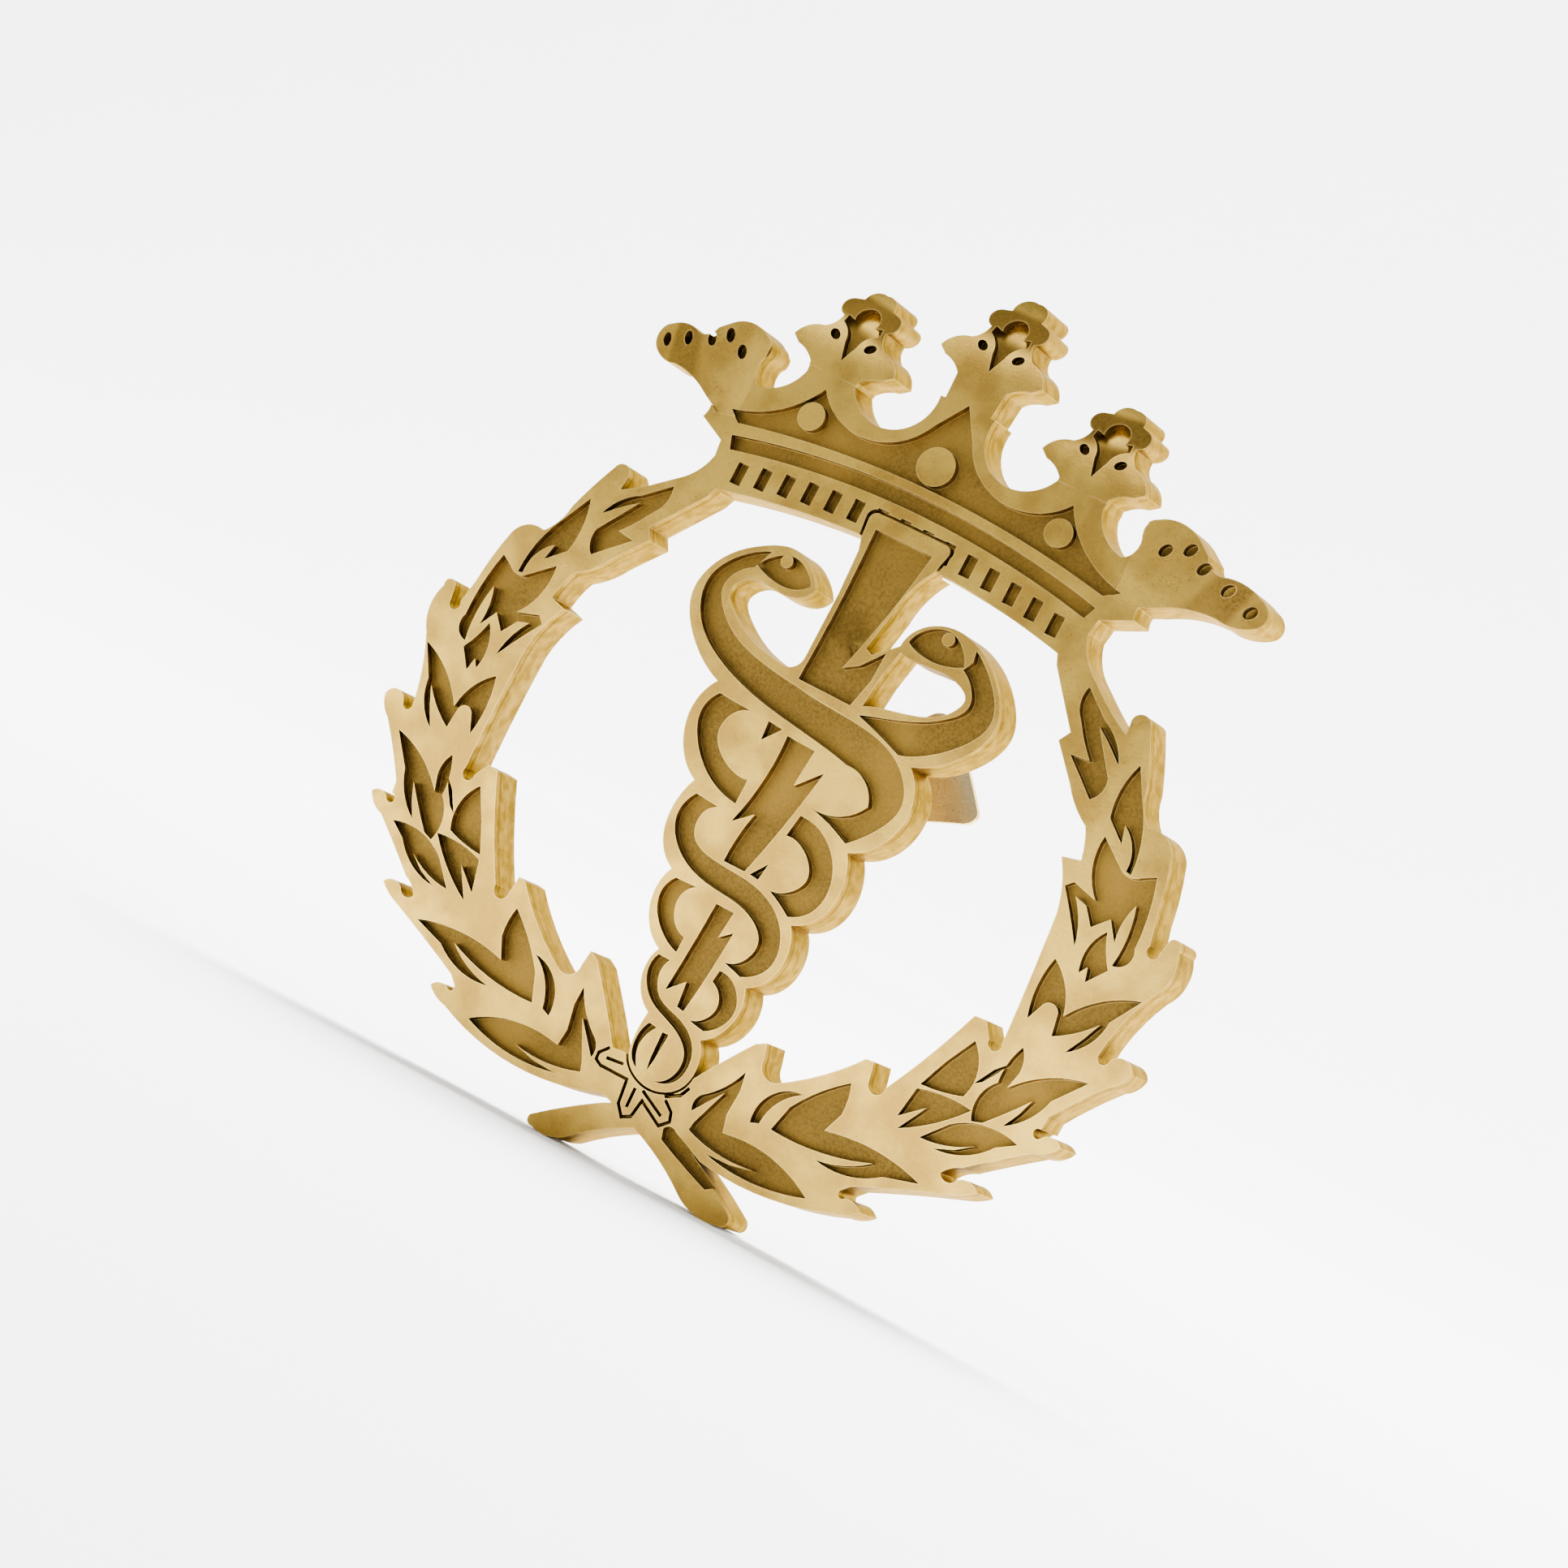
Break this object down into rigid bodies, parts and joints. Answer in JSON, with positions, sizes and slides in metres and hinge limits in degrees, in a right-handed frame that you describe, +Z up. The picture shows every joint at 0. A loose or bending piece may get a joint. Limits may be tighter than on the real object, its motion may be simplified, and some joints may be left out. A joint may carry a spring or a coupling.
{
  "type": "cap badge",
  "caption": "Domed gilt cap badge: laurel wreath, open crown and serpent staff, with a pin and a butterfly clutch that turns, slides off and squeezes open.",
  "frame": {"origin": "root of the pin on the back of the badge", "axes": "+Z up, front of the badge to -Y, pin along +Y, +X to the right seen from the front"},
  "size_m": [0.0376, 0.0096, 0.0402],
  "materials": {
    "gilt": "satin",
    "clutch_metal": "satin"
  },
  "bodies": {
    "badge": {"wreath_and_crown": "gilt", "serpent_staff": "gilt", "post_pad": "gilt", "pin_post": "gilt"},
    "base": {"clutch_disc": "clutch_metal"},
    "barrel": {"clutch_barrel": "clutch_metal"},
    "wing_right": {"spring_wing_right": "clutch_metal"},
    "wing_left": {"spring_wing_left": "clutch_metal"}
  },
  "joints": [
    {"name": "clutch_off", "type": "slide", "parent": "badge", "child": "base", "axis": [0, 1, 0], "range_m": [0, 0.02]},
    {"name": "barrel_turn", "type": "hinge", "parent": "base", "child": "barrel", "pos_m": [0, 0.0045, 0], "axis": [0, 1, 0], "continuous": true},
    {"name": "squeeze_right", "type": "hinge", "parent": "barrel", "child": "wing_right", "pos_m": [0.00168, 0.00413, 0.00157], "axis": [-0.682, 0, 0.7314], "range_deg": [0, 12], "stiffness_Nm_per_rad": 0.002},
    {"name": "squeeze_left", "type": "hinge", "parent": "barrel", "child": "wing_left", "pos_m": [-0.00168, 0.00413, -0.00157], "axis": [0.682, 0, -0.7314], "range_deg": [0, 12], "stiffness_Nm_per_rad": 0.002}
  ],
  "couplings": [
    {"joint": "squeeze_left", "follows": "squeeze_right", "ratio": 1}
  ]
}
